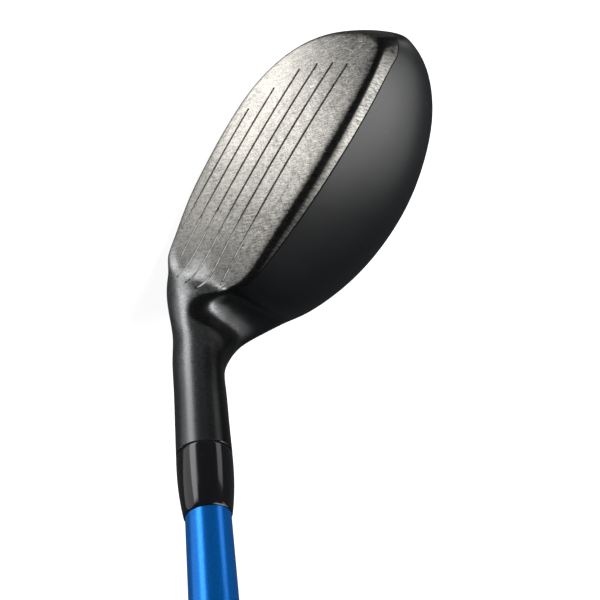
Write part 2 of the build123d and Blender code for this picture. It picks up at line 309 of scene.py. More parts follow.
def dense_rings(count, points):
    """Evenly spaced rings of the head, held behind the face and rounded at their edges."""
    stations = head_stations(40)
    knots = station_places(stations)
    fine = cubic_spline(knots, stations, np.linspace(0, knots[-1], 900))
    step = np.linalg.norm(np.diff(fine, axis=0), axis=2)
    travel = np.concatenate([[0], np.cumsum(step.mean(1) ** 0.9)])
    places = np.interp(np.linspace(0, travel[-1], count), travel, np.linspace(0, knots[-1], 900))
    rings = cubic_spline(knots, stations, places)
    rings = np.array([rounded_ring(even_ring(ring, points)) for ring in held_behind_face(rings)])
    rings = smoothed_across(rings, 10)
    heel = rings[HEEL_STATION:]
    soft = smoothed_across(np.array([smoothed_ring(ring, HEEL_SPREAD) for ring in heel]), HEEL_PASSES)
    heel += (soft - heel) * heel_share(heel)[..., None]
    return rings


def smoothed_across(rings, times):
    """Rings smoothed from one to the next, leaving the first and last few alone."""
    rings = rings.copy()
    for _ in range(times):
        even = (rings[:-2] + 2 * rings[1:-1] + rings[2:]) / 4
        rings[END_RINGS:-END_RINGS] = even[END_RINGS - 1 : 1 - END_RINGS]
    return rings


def heel_share(rings):
    """How strongly the surface is softened where the face runs into the front of the neck."""
    x, y, z = rings[..., 0], rings[..., 1], rings[..., 2]
    axial = (x - AXIS_GROUND[0]) * math.cos(LIE) + z * math.sin(LIE)
    return ease((x - 39.0) / 6.0) * ease((44.0 - axial) / 12.0) * ease((-4.0 - y) / 5.0)


def crossing(ring, values, forward):
    """The share of the ring's length, from its top, at which values first fall below zero."""
    count = len(ring)
    order = np.arange(count) if forward else -np.arange(count)
    read = values[order % count]
    below = np.nonzero(read < 0)[0]
    if len(below) == 0 or below[0] == 0:
        return 0.0
    k = below[0]
    part = read[k - 1] / (read[k - 1] - read[k])
    return (k - 1 + part) / count


def crown_shares(rings):
    """Where the crown plate starts (towards the face) and ends (towards the rear) on each ring."""
    front = []
    rear = []
    last = int(np.nonzero(rings[:, 0, 0] <= CROWN_HEEL)[0][-1])
    for ring in rings[: last + 1]:
        above = ring[:, 2] - CROWN_RIM
        behind = np.minimum(ring[:, 1] - seam_y(ring[:, 0]), above)
        front.append(crossing(ring, behind, False))
        rear.append(crossing(ring, above, True))
    rest = len(rings) - last - 1
    fade = ease(np.arange(1, rest + 1) / 60.0)
    front = np.array(front + list(front[-1] + (0.02 - front[-1]) * fade))
    rear = np.array(rear + list(rear[-1] + (0.25 - rear[-1]) * fade))
    for _ in range(6):
        front[1:-1] = (front[:-2] + 2 * front[1:-1] + front[2:]) / 4
        rear[1:-1] = (rear[:-2] + 2 * rear[1:-1] + rear[2:]) / 4
    return front, rear, last


def head_grid():
    """The head's grid of points (station, row) and the crown's last station."""
    rings = dense_rings(RING_COUNT, RING_POINTS)
    front, rear, last = crown_shares(rings)
    near = np.arange(CROWN_ROWS) / CROWN_ROWS
    crown_share = 0.35 * near + 0.65 * near**2
    far = 1 - np.arange(BODY_ROWS) / BODY_ROWS
    body_share = 1 - (0.35 * far + 0.65 * far**2)
    grid = []
    for ring, start, end in zip(rings, front, rear):
        closed = np.concatenate([ring, ring, ring[:1]])
        length = len(ring)
        crown = -start + crown_share * (start + end)
        body = end + body_share * (1 - start - end)
        places = (np.concatenate([crown, body]) + 1.0) * length
        index = np.arange(len(closed))
        grid.append(np.stack([np.interp(places, index, closed[:, k]) for k in range(3)], -1))
    return np.array(grid), last


def grid_normals(grid):
    """Outward normals of the head's grid."""
    along = np.gradient(grid, axis=0)
    around = (np.roll(grid, -1, axis=1) - np.roll(grid, 1, axis=1)) / 2
    normal = np.cross(along, around)
    normal /= np.maximum(np.linalg.norm(normal, axis=2, keepdims=True), 1e-12)
    centre = grid.mean(1, keepdims=True)
    if np.mean(np.sum(normal * (grid - centre), axis=2)) < 0:
        normal = -normal
    return normal


def plate_depth_inside(points):
    """How far inside the face plate's outline each point lies (negative outside), in the face's plane."""
    outline = closed_spline(PLATE_OUTLINE, 160)
    across = points[:, 0] - FACE_CENTRE[0]
    up = (points - FACE_CENTRE) @ FACE_UP
    here = np.stack([across, up], -1)
    ends = np.roll(outline, -1, axis=0)
    nearest = np.full(len(here), 1e9)
    inside = np.zeros(len(here), bool)
    for a, b in zip(outline, ends):
        edge = b - a
        share = np.clip(((here - a) @ edge) / (edge @ edge), 0, 1)
        nearest = np.minimum(nearest, np.linalg.norm(here - a - share[:, None] * edge, axis=1))
        crosses = (a[1] > here[:, 1]) != (b[1] > here[:, 1])
        slope = edge[0] / edge[1] if abs(edge[1]) > 1e-12 else 0.0
        inside ^= crosses & (here[:, 0] < a[0] + (here[:, 1] - a[1]) * slope)
    return np.where(inside, nearest, -nearest)


def mesh_object(name, points, faces):
    """A smooth-shaded mesh object from points in millimetres."""
    mesh = bpy.data.meshes.new(name)
    mesh.from_pydata([tuple(p) for p in np.asarray(points) * MM], [], faces)
    mesh.validate()
    item = bpy.data.objects.new(name, mesh)
    bpy.context.scene.collection.objects.link(item)
    mesh.polygons.foreach_set("use_smooth", [True] * len(mesh.polygons))
    return item


def tidy_mesh(item):
    """Join doubled points, drop loose ones, turn the faces outwards and shade them smooth."""
    work = bmesh.new()
    work.from_mesh(item.data)
    bmesh.ops.remove_doubles(work, verts=work.verts, dist=WELD_GAP * MM)
    bmesh.ops.dissolve_degenerate(work, edges=work.edges, dist=WELD_GAP * MM)
    loose = [v for v in work.verts if not v.link_faces]
    bmesh.ops.delete(work, geom=loose, context="VERTS")
    bmesh.ops.recalc_face_normals(work, faces=work.faces)
    work.to_mesh(item.data)
    work.free()
    item.data.polygons.foreach_set("use_smooth", [True] * len(item.data.polygons))


def ring_quads(low, high, count):
    """Quads between two closed rings of points, given the index at which each ring starts."""
    quads = []
    for k in range(count):
        after = (k + 1) % count
        quads.append((low + k, low + after, high + after, high + k))
    return quads


def grid_faces(rows, wanted):
    """Quads of the head's grid whose (station, row) is wanted."""
    faces = []
    for station, row in wanted:
        after = (row + 1) % rows
        low, high = station * rows, (station + 1) * rows
        faces.append((low + row, low + after, high + after, high + row))
    return faces


def whole_grid(stations, rows):
    """Every (station, row) of the head's grid."""
    return [(station, row) for station in range(stations - 1) for row in range(rows)]


def make_head():
    """The head's skin as two pieces: the steel shell, and the crown plate behind the seam."""
    grid, last = head_grid()
    normals = grid_normals(grid)
    stations, rows = grid.shape[:2]
    seam = slice(END_RINGS, last + 1)
    for row in (0, CROWN_ROWS):
        grid[seam, row] -= normals[seam, row] * SEAM_DEPTH

    flat = grid.reshape(-1, 3)
    whole = grid_faces(rows, whole_grid(stations, rows))
    surface = BVHTree.FromPolygons([tuple(p) for p in flat], whole)
    facing = (normals.reshape(-1, 3) @ FACE_OUT) > 0.7
    depth = np.full(len(flat), -1.0)
    depth[facing] = plate_depth_inside(flat[facing])
    pocket = np.clip((depth - POCKET_INSET) / POCKET_WALL, 0, 1)
    shell_points = flat - pocket[:, None] * FACE_OUT * POCKET_DEPTH

    weight_spot = np.array(WEIGHT_PLACE)
    away = np.linalg.norm(flat[:, :2] - weight_spot, axis=1)
    on_sole = flat[:, 2] < SOLE_HEIGHT
    under = on_sole & (away < WEIGHT_RADIUS)
    seat = int(np.argmin(np.where(on_sole, away, 1e9)))
    sole_place = flat[seat].copy()
    sole_normal = normals.reshape(-1, 3)[seat].copy()
    shell_points[under] -= normals.reshape(-1, 3)[under] * WEIGHT_RECESS

    body = []
    crown = []
    for station in range(stations - 1):
        for row in range(rows):
            on_crown = row < CROWN_ROWS and station < last
            (crown if on_crown else body).append((station, row))
    faces = grid_faces(rows, body)
    rim_points, rim_faces = hosel_rim(grid[-1], len(shell_points), (stations - 1) * rows)
    shell = mesh_object("head_shell", np.concatenate([shell_points, rim_points]), faces + rim_faces)
    tidy_mesh(shell)
    cap = mesh_object("crown_shell", flat, grid_faces(rows, crown))
    tidy_mesh(cap)
    return shell, cap, surface, sole_place, sole_normal


def hosel_rim(ring, first, ring_start):
    """The hosel's flat end, from its outline in to the shaft."""
    centre = AXIS_GROUND + HOSEL_TOP * SHAFT_DIR
    outwards = ring - centre
    outwards -= (outwards @ SHAFT_DIR)[:, None] * SHAFT_DIR
    outwards /= np.linalg.norm(outwards, axis=1, keepdims=True)
    points = [centre + outwards * radius for radius in (HOSEL_RADIUS - 0.05, SHAFT_TIP_RADIUS + 0.1)]
    count = len(ring)
    faces = ring_quads(ring_start, first, count) + ring_quads(first, first + count, count)
    return np.concatenate(points), faces


def groove_depth(across, up):
    """How deep the score lines are cut at points in the face's plane."""
    deep = np.zeros_like(across)
    for row, (toe, heel) in enumerate(SCORE_ENDS):
        middle = LOWEST_SCORE + row * SCORE_PITCH
        away = np.abs(up - middle) / (SCORE_WIDTH / 2)
        wall = np.clip((1.0 - away) / 0.35, 0, 1)
        inside = np.minimum(across - (toe - FACE_CENTRE[0]), (heel - FACE_CENTRE[0]) - across)
        deep = np.maximum(deep, SCORE_DEPTH * wall * ease(inside / 0.8))
    return deep


def face_points(across, up, surface):
    """Points of the head's surface that lie straight behind places in the face's plane."""
    inwards = Vector(-FACE_OUT)
    points = FACE_CENTRE + up[..., None] * FACE_UP + across[..., None] * np.array([1.0, 0, 0])
    found = np.empty_like(points)
    for index in np.ndindex(across.shape):
        start = Vector(points[index]) - 12.0 * inwards
        found[index] = surface.ray_cast(start, inwards)[0]
    return found


def make_face_plate(surface):
    """The face plate, flush in the shell, with its six score lines cut into it."""
    outline = closed_spline(PLATE_OUTLINE, 900)
    low, high = outline[:, 1].min(), outline[:, 1].max()
    marks = list(np.linspace(low + 0.01, high - 0.01, 66))
    steps = np.array([-0.36, -0.3, -0.25, -0.2, -0.1, 0.0, 0.1, 0.2, 0.25, 0.3, 0.36]) * SCORE_WIDTH / 0.6
    for row in range(len(SCORE_ENDS)):
        middle = LOWEST_SCORE + row * SCORE_PITCH
        marks = [m for m in marks if abs(m - middle) > 0.5]
        marks += list(middle + steps)
    marks = np.array(sorted(marks))
    columns = 300
    share = np.linspace(0, 1, columns)
    across = []
    for mark in marks:
        near = np.roll(outline, -1, axis=0)
        hit = (outline[:, 1] > mark) != (near[:, 1] > mark)
        part = (mark - outline[hit, 1]) / (near[hit, 1] - outline[hit, 1])
        ends = outline[hit, 0] + part * (near[hit, 0] - outline[hit, 0])
        across.append(ends.min() + share * (ends.max() - ends.min()))
    across = np.array(across)
    up = np.repeat(marks[:, None], columns, 1)
    points = face_points(across, up, surface)
    points = points + FACE_OUT * (0.008 - groove_depth(across, up))[..., None]
    rows = len(marks)
    faces = []
    for r in range(rows - 1):
        for c in range(columns - 1):
            k = r * columns + c
            faces.append((k, k + 1, k + columns + 1, k + columns))
    flat = points.reshape(-1, 3)
    border = list(range(columns))
    border += [r * columns + columns - 1 for r in range(1, rows)]
    border += [(rows - 1) * columns + c for c in range(columns - 2, -1, -1)]
    border += [r * columns for r in range(rows - 2, 0, -1)]
    rim = flat[border]
    start = len(flat)
    count = len(border)
    for k in range(count):
        after = (k + 1) % count
        faces.append((start + after, start + k, start + count + k, start + count + after))
    points = np.concatenate([flat, rim, rim - FACE_OUT * PLATE_THICKNESS])
    plate = mesh_object("face_plate_skin", points, faces)
    outwards = Vector(FACE_OUT)
    if plate.data.polygons[columns * 20].normal.dot(outwards) < 0:
        plate.data.flip_normals()
    return plate


def make_score_paint(surface):
    """The paint in the six score lines, filled nearly level towards their heel ends."""
    steps = 80
    share = np.linspace(0, 1, steps)
    loops = []
    faces = []
    for row, (toe, heel) in enumerate(SCORE_ENDS):
        along = np.tile(toe + 0.5 + share * (heel - toe - 1.0), (4, 1))
        half = SCORE_WIDTH / 3
        up = LOWEST_SCORE + row * SCORE_PITCH + np.array([[-half], [half], [half], [-half]]) + 0 * along
        depth = 0.30 - 0.26 * ease((along - 12.0) / 20.0)
        depth[2:] = SCORE_DEPTH + 0.05
        loops.append(face_points(along - FACE_CENTRE[0], up, surface) - FACE_OUT * depth[..., None])
        start = row * 4 * steps
        corners = [start + side * steps for side in range(4)]
        for side in range(4):
            low, high = corners[side], corners[(side + 1) % 4]
            faces += [(low + k, low + k + 1, high + k + 1, high + k) for k in range(steps - 1)]
        faces.append(tuple(reversed(corners)))
        faces.append(tuple(corner + steps - 1 for corner in corners))
    paint = mesh_object("score_paint", np.concatenate(loops).reshape(-1, 3), faces)
    tidy_mesh(paint)
    return paint


# ---------------------------------------------------------------- turned pieces


def lathe(name, profile, segments=144, base=None, direction=None):
    """A piece turned about an axis (the shaft's unless given) from (radius, axial) points."""
    base = AXIS_GROUND if base is None else np.asarray(base, float)
    direction = SHAFT_DIR if direction is None else np.asarray(direction, float)
    side = np.cross(direction, [0.0, 1.0, 0.0])
    side /= np.linalg.norm(side)
    other = np.cross(direction, side)
    turns = np.arange(segments) / segments * 2 * math.pi
    around = np.cos(turns)[:, None] * side + np.sin(turns)[:, None] * other
    points = np.concatenate([base + axial * direction + radius * around for radius, axial in profile])
    faces = []
    for level in range(len(profile) - 1):
        faces += ring_quads(level * segments, (level + 1) * segments, segments)
    piece = mesh_object(name, points, faces)
    tidy_mesh(piece)
    return piece


def rounded_end(radius, axial, size, steps=8):
    """Profile points of a rim that is rounded in to an end face."""
    points = []
    for step in range(steps + 1):
        angle = math.pi / 2 * step / steps
        points.append((radius - size * (1 - math.cos(angle)), axial - size + size * math.sin(angle)))
    return points


def make_ferrule():
    """The black ferrule between hosel and shaft: straight at first, then drawn in to a rounded end."""
    profile = [(HOSEL_RADIUS - 0.6, HOSEL_TOP + 0.1), (HOSEL_RADIUS - 0.25, HOSEL_TOP + 0.1)]
    profile += [(HOSEL_RADIUS - 0.06, HOSEL_TOP + 0.2), (HOSEL_RADIUS, HOSEL_TOP + 0.45)]
    length = FERRULE_TOP - HOSEL_TOP
    for step in range(1, 25):
        share = step / 24
        radius = HOSEL_RADIUS - (HOSEL_RADIUS - FERRULE_END_RADIUS) * share**2.4
        profile.append((radius, HOSEL_TOP + 0.45 + (length - 0.8) * share))
    profile += [(FERRULE_END_RADIUS - 0.12, FERRULE_TOP - 0.1), (SHAFT_TIP_RADIUS + 0.06, FERRULE_TOP)]
    profile.append((SHAFT_TIP_RADIUS, FERRULE_TOP - 0.3))
    return lathe("ferrule_turned", profile)


def make_shaft():
    """The tapering painted shaft, from inside the hosel to the butt."""
    start = HOSEL_TOP - SHAFT_INSERTION
    end = CLUB_LENGTH - CAP_LENGTH
    taper_start = start + TIP_PARALLEL
    taper_end = end - BUTT_PARALLEL
    profile = [(SHAFT_TIP_RADIUS - TIP_WALL, start), (SHAFT_TIP_RADIUS, start)]
    for axial in np.linspace(HOSEL_TOP, taper_start, 12):
        profile.append((SHAFT_TIP_RADIUS, axial))
    for share in np.linspace(0.02, 1, 50):
        radius = SHAFT_TIP_RADIUS + (BUTT_RADIUS - SHAFT_TIP_RADIUS) * share
        profile.append((radius, taper_start + (taper_end - taper_start) * share))
    profile += [(BUTT_RADIUS, GRIP_START - 10), (BUTT_RADIUS, GRIP_START + 30)]
    profile += [(BUTT_RADIUS, end), (BUTT_RADIUS - BUTT_WALL, end)]
    return lathe("shaft_tube", profile)


def grip_height(axial, turn):
    """The moulded pattern's height at a place along and round the grip."""
    share = (axial - GRIP_START) / (CLUB_LENGTH - CAP_LENGTH - GRIP_START)
    panel = np.clip((share - 0.13) / 0.01, 0, 1) * np.clip((0.93 - share) / 0.01, 0, 1)
    gap = np.clip((np.abs(share - 0.52) - 0.012) / 0.004, 0, 1)
    lines = 14
    climb = axial / 3.6
    one = np.abs((turn * lines / (2 * math.pi) + climb) % 1 - 0.5)
    two = np.abs((turn * lines / (2 * math.pi) - climb) % 1 - 0.5)
    cut = np.clip((0.1 - np.minimum(one, two)) / 0.06, 0, 1)
    border = np.exp(-(((share - 0.125) / 0.0022) ** 2)) + np.exp(-(((share - 0.935) / 0.0022) ** 2))
    return -0.32 * cut * panel * gap - 0.4 * border


def make_grip():
    """The rubber grip: a tapering sleeve with a rolled mouth and a moulded cross-hatched pattern."""
    end = CLUB_LENGTH - CAP_LENGTH
    levels = np.linspace(GRIP_START + 0.9, end, 620)
    segments = 252
    turns = np.arange(segments) / segments * 2 * math.pi
    side = np.cross(SHAFT_DIR, [0.0, 1.0, 0.0])
    other = np.cross(SHAFT_DIR, side)
    around = np.cos(turns)[:, None] * side + np.sin(turns)[:, None] * other
    rings = []
    for radius, axial in [(BUTT_RADIUS + 0.36, GRIP_START), (GRIP_MOUTH_RADIUS - 0.6, GRIP_START)]:
        rings.append(AXIS_GROUND + axial * SHAFT_DIR + radius * around)
    rings.append(AXIS_GROUND + (GRIP_START + 0.25) * SHAFT_DIR + (GRIP_MOUTH_RADIUS - 0.15) * around)
    for axial in levels:
        share = (axial - GRIP_START) / (end - GRIP_START)
        radius = GRIP_MOUTH_RADIUS + (GRIP_CAP_RADIUS - 0.4 - GRIP_MOUTH_RADIUS) * share
        past_mouth = share * (end - GRIP_START)
        in_ring = any(0 <= past_mouth - place <= GRIP_RING_WIDTH for place in GRIP_RING_PLACES)
        height = grip_height(axial, turns) - (GRIP_RING_DEPTH if in_ring else 0.0)
        rings.append(AXIS_GROUND + axial * SHAFT_DIR + (radius + height)[:, None] * around)
    faces = []
    for level in range(len(rings) - 1):
        faces += ring_quads(level * segments, (level + 1) * segments, segments)
    piece = mesh_object("grip_sleeve", np.concatenate(rings), faces)
    tidy_mesh(piece)
    return piece


def make_grip_cap():
    """The butt cap: a rounded disc with a ring groove and the vent hole."""
    low = CLUB_LENGTH - CAP_LENGTH
    profile = [(GRIP_CAP_RADIUS - 0.6, low)]
    profile += [(GRIP_CAP_RADIUS - 0.15, low + 0.15), (GRIP_CAP_RADIUS, low + 0.5)]
    profile += rounded_end(GRIP_CAP_RADIUS, CLUB_LENGTH, 1.6)
    for radius, drop in [(9.6, 0.0), (9.3, 0.35), (8.7, 0.35), (8.4, 0.0), (2.1, 0.0), (1.6, 0.15)]:
        profile.append((radius, CLUB_LENGTH - drop))
    profile += [(1.5, CLUB_LENGTH - 0.4), (1.5, low)]
    return lathe("butt_cap", profile)


def make_sole_weight(place, normal):
    """The sole weight's outer end, just proud of the sole, with a six-sided socket."""
    inward = -np.asarray(normal)
    profile = [(WEIGHT_RADIUS + 0.25, 2.5), (WEIGHT_RADIUS + 0.25, 0.15), (WEIGHT_RADIUS, -0.12)]
    profile += [(3.1, -0.12), (2.9, 0.1), (2.7, 0.1)]
    rim = lathe("sole_weight_disc", profile, 96, place, inward)
    socket = lathe("socket", [(2.7, 0.1), (2.35, 0.1), (2.35, 2.4), (0.02, 2.4)], 6, place, inward)
    socket.data.polygons.foreach_set("use_smooth", [False] * len(socket.data.polygons))
    with bpy.context.temp_override(active_object=rim, selected_editable_objects=[rim, socket]):
        bpy.ops.object.join()
    return rim


# ---------------------------------------------------------------- materials


class Nodes:
    """Short ways to add and link shader nodes in a new material."""

    def __init__(self, name):
        self.material = bpy.data.materials.new(name)
        self.material.use_nodes = True
        self.tree = self.material.node_tree
        self.shader = self.tree.nodes["Principled BSDF"]
        self.place = self.add("ShaderNodeTexCoord").outputs["Object"]

    def add(self, kind, **values):
        node = self.tree.nodes.new(kind)
        for key, value in values.items():
            setattr(node, key, value)
        return node

    def feed(self, source, socket):
        if hasattr(source, "links"):
            self.tree.links.new(source, socket)
        else:
            socket.default_value = source

    def math(self, operation, first, second=0.0):
        node = self.add("ShaderNodeMath", operation=operation)
        self.feed(first, node.inputs[0])
        self.feed(second, node.inputs[1])
        return node.outputs[0]

    def remap(self, value, low, high, to_low=0.0, to_high=1.0, smooth=False):
        node = self.add("ShaderNodeMapRange", interpolation_type="SMOOTHSTEP" if smooth else "LINEAR")
        for socket, item in zip(node.inputs[:5], (value, low, high, to_low, to_high)):
            self.feed(item, socket)
        return node.outputs[0]

    def mapping(self, scale, turn=(0, 0, 0)):
        node = self.add("ShaderNodeMapping")
        self.feed(self.place, node.inputs["Vector"])
        node.inputs["Scale"].default_value = scale
        node.inputs["Rotation"].default_value = turn
        return node.outputs[0]

    def noise(self, scale, detail=3.0, rough=0.5, vector=None):
        node = self.add("ShaderNodeTexNoise")
        self.feed(self.place if vector is None else vector, node.inputs["Vector"])
        node.inputs["Scale"].default_value = scale
        node.inputs["Detail"].default_value = detail
        node.inputs["Roughness"].default_value = rough
        return node.outputs["Fac"]

    def axis(self, vector, direction):
        node = self.add("ShaderNodeVectorMath", operation="DOT_PRODUCT")
        self.feed(vector, node.inputs[0])
        node.inputs[1].default_value = direction
        return node.outputs["Value"]

    def blend(self, share, first, second):
        node = self.add("ShaderNodeMix", data_type="RGBA")
        self.feed(share, node.inputs[0])
        self.feed(first, node.inputs[6])
        self.feed(second, node.inputs[7])
        return node.outputs[2]

    def bump(self, height, distance, strength):
        node = self.add("ShaderNodeBump")
        node.inputs["Strength"].default_value = strength
        node.inputs["Distance"].default_value = distance
        self.feed(height, node.inputs["Height"])
        return node.outputs["Normal"]

    def finish(self, **sockets):
        for key, value in sockets.items():
            self.feed(value, self.shader.inputs[key.replace("_", " ")])
        return self.material


def colour(red, green, blue):
    """A linear colour with full alpha."""
    return (red, green, blue, 1.0)


def scratches(nodes, turn, density, length, threshold):
    """Thin short straight scratches in one direction, 1 on a scratch and 0 elsewhere."""
    stretched = nodes.mapping((density, density, density / length), turn)
    return nodes.remap(nodes.noise(1.0, 1.0, 0.4, stretched), threshold, threshold + 0.05)


def head_steel():
    """The shell's steel: scuffed bare metal that turns satin at the neck and near-black to the rear, with a
    painted highlight, painted shade and a painted dark reflection in its colour.
    """
    n = Nodes("head_steel")
    return steel_look(n)


def face_steel():
    """The face plate's scuffed satin steel, with a painted highlight and painted shade in its colour."""
    n = Nodes("face_steel")
    return steel_look(n)


def along_face(n, turn, fine, coarse):
    """Streaky noise lying in the face, drawn out along a direction turned from the face's width."""
    streak = math.cos(turn) * np.array([1.0, 0.0, 0.0]) + math.sin(turn) * FACE_UP
    cross = -math.sin(turn) * np.array([1.0, 0.0, 0.0]) + math.cos(turn) * FACE_UP
    place = n.add("ShaderNodeCombineXYZ")
    n.feed(n.math("MULTIPLY", n.axis(n.place, tuple(streak)), coarse), place.inputs[0])
    n.feed(n.math("MULTIPLY", n.axis(n.place, tuple(cross)), fine), place.inputs[1])
    n.feed(n.math("MULTIPLY", n.axis(n.place, tuple(FACE_OUT)), coarse), place.inputs[2])
    return n.noise(1.0, 3.0, 0.65, place.outputs[0])


def steel_look(n):
    """One steel for shell and face plate, so that their joint doesn't show. Its colour holds painted light:
    a painted highlight in the face's middle and low down, painted shade towards the toe, a painted dark
    reflection along the rounded top edge and painted shade on the up-facing top of the heel.
    """
    normal = n.add("ShaderNodeNewGeometry").outputs["Normal"]
    across = n.axis(n.place, (1.0, 0.0, 0.0))
    back = n.axis(n.place, (0.0, 1.0, 0.0))
    up_face = n.axis(n.place, tuple(FACE_UP))
    # A painted highlight: the face's colour is made lighter round its middle.
    highlight_across = n.math("POWER", n.math("DIVIDE", n.math("ADD", across, 0.002), 0.030), 2.0)
    high = n.math("POWER", n.math("DIVIDE", n.math("SUBTRACT", up_face, 0.014), 0.020), 2.0)
    centre = n.math("POWER", 2.718, n.math("MULTIPLY", n.math("ADD", highlight_across, high), -1.0))
    to_neck = n.remap(across, 0.022, 0.048, smooth=True)
    to_rear = n.remap(back, -0.003, 0.010, smooth=True)
    cloud = n.noise(150.0, 4.0, 0.65)
    rubbing = along_face(n, 2.2, 3400.0, 620.0)
    cross = along_face(n, 0.9, 3000.0, 800.0)
    speckle = n.noise(2600.0, 2.0, 0.7)
    fine = n.math("ADD", n.math("MULTIPLY", rubbing, 0.6), n.math("MULTIPLY", cross, 0.4))
    nicks = n.remap(along_face(n, 2.0, 2300.0, 420.0), 0.63, 0.70)
    # Tone: fine wear marks, plus the painted highlight in the middle of the face.
    tone = n.math("ADD", n.remap(fine, 0.38, 0.62, 0.05, 0.78), n.math("MULTIPLY", centre, 0.12))
    tone = n.math("ADD", tone, n.remap(cloud, 0.3, 0.7, -0.10, 0.08))
    tone = n.math("ADD", tone, n.remap(speckle, 0.3, 0.7, -0.10, 0.10))
    # Painted light: the face is made lighter low down (painted highlight) and darker towards the toe
    # (painted shade).
    tone = n.math("ADD", tone, n.remap(up_face, 0.014, 0.002, 0.0, 0.22))
    tone = n.math("MULTIPLY", tone, n.remap(across, -0.014, -0.034, 1.0, 0.62))
    bare = n.blend(tone, colour(0.06, 0.06, 0.062), colour(0.62, 0.595, 0.54))
    bare = n.blend(n.math("MULTIPLY", nicks, 0.8), bare, colour(0.72, 0.70, 0.66))
    satin_tone = n.remap(n.math("ADD", fine, n.math("MULTIPLY", speckle, 0.7)), 0.65, 1.05)
    satin = n.blend(satin_tone, colour(0.13, 0.132, 0.137), colour(0.30, 0.304, 0.310))
    satin = n.blend(n.math("MULTIPLY", nicks, 0.15), satin, colour(0.4, 0.4, 0.4))
    satin = n.blend(n.remap(across, 0.048, 0.068, smooth=True), satin, colour(0.13, 0.132, 0.137))
    shade = n.blend(to_neck, bare, satin)
    # A painted dark reflection: where the surface rounds over from the face to the top, the colour is
    # darkened to near-black.
    ragged = n.math("MULTIPLY", n.math("SUBTRACT", fine, 0.5), 0.05)
    edge = n.remap(n.math("ADD", n.axis(normal, tuple(FACE_OUT)), ragged), 0.985, 0.965)
    below = n.remap(n.axis(normal, (-0.2, 0.0, 0.98)), 0.95, 0.90)
    above = n.remap(n.axis(normal, (0.0, 0.0, 1.0)), 0.42, 0.50)
    rounded = n.math("MULTIPLY", n.math("MULTIPLY", edge, below), above)
    shade = n.blend(n.math("MULTIPLY", rounded, 0.85), shade, colour(0.02, 0.02, 0.02))
    # The near-black of the painted rear; it is also laid as painted shade on the up-facing top of the heel,
    # beyond the face.
    finish = n.blend(n.remap(cloud, 0.3, 0.7), colour(0.004, 0.005, 0.006), colour(0.007, 0.008, 0.009))
    faces_up = n.remap(n.axis(normal, (0.0, 0.3, 0.95)), 0.80, 0.93)
    painted_heel_shade = n.math("MULTIPLY", faces_up, n.remap(across, 0.030, 0.040))
    painted = n.math("MAXIMUM", to_rear, painted_heel_shade)
    shade = n.blend(painted, shade, finish)
    rough = n.math("ADD", n.remap(fine, 0.35, 0.65, 0.30, 0.38), n.remap(to_neck, 0.0, 1.0, 0.0, -0.04))
    relief = n.bump(fine, 0.00002, 0.5)
    metal = n.remap(painted, 0.0, 1.0, 0.95, 0.0)
    return n.finish(Base_Color=shade, Metallic=metal, Roughness=rough, Normal=relief)


def crown_paint():
    """Matt charcoal paint with a faint cool tint, fine tooth and small specks."""
    n = Nodes("crown_paint")
    tooth = n.noise(3800.0, 2.0, 0.6)
    cloud = n.noise(45.0, 3.0, 0.5)
    specks = n.remap(n.noise(620.0, 1.0, 0.4), 0.79, 0.81)
    rubs = scratches(n, (0.2, 0.8, 1.2), 700.0, 14.0, 0.74)
    base = n.blend(n.remap(cloud, 0.3, 0.7), colour(0.0030, 0.0040, 0.0050), colour(0.0045, 0.0060, 0.0075))
    base = n.blend(n.math("MULTIPLY", specks, 0.5), base, colour(0.12, 0.13, 0.13))
    base = n.blend(n.math("MULTIPLY", rubs, 0.15), base, colour(0.06, 0.063, 0.063))
    rough = n.remap(cloud, 0.3, 0.7, 0.35, 0.40)
    relief = n.bump(tooth, 0.00002, 0.35)
    return n.finish(Base_Color=base, Specular_IOR_Level=0.95, Roughness=rough, Normal=relief)


def ferrule_plastic():
    """Polished black plastic with hairline scratches."""
    n = Nodes("ferrule_plastic")
    hair = scratches(n, (0.3, 0.5, 0.2), 1600.0, 30.0, 0.72)
    smear = n.noise(140.0, 3.0, 0.6)
    base = n.blend(n.math("MULTIPLY", hair, 0.12), colour(0.006, 0.006, 0.007), colour(0.12, 0.12, 0.12))
    rough = n.remap(smear, 0.3, 0.7, 0.10, 0.20)
    return n.finish(Base_Color=base, Roughness=rough, Coat_Weight=0.6, Coat_Roughness=0.06)


def shaft_paint():
    """Metallic blue paint under clear lacquer: fine flake, slight orange peel."""
    n = Nodes("shaft_paint")
    flake = n.noise(6500.0, 1.0, 0.5)
    peel = n.noise(420.0, 2.0, 0.5)
    base = n.blend(n.remap(flake, 0.35, 0.65), colour(0.0, 0.16, 0.78), colour(0.004, 0.30, 0.98))
    relief = n.bump(peel, 0.00002, 0.25)
    return n.finish(
        Base_Color=base, Metallic=0.75, Roughness=0.28, Coat_Weight=0.3, Coat_Roughness=0.08, Normal=relief
    )


def grip_rubber():
    """Black moulded rubber, dull, with a fine grain and cloudy dust."""
    n = Nodes("grip_rubber")
    grain = n.noise(2400.0, 3.0, 0.6)
    dust = n.noise(70.0, 3.0, 0.6)
    base = n.blend(n.remap(dust, 0.3, 0.8), colour(0.014, 0.014, 0.015), colour(0.030, 0.030, 0.030))
    relief = n.bump(grain, 0.00006, 0.6)
    return n.finish(Base_Color=base, Roughness=n.remap(grain, 0.3, 0.7, 0.62, 0.8), Normal=relief)


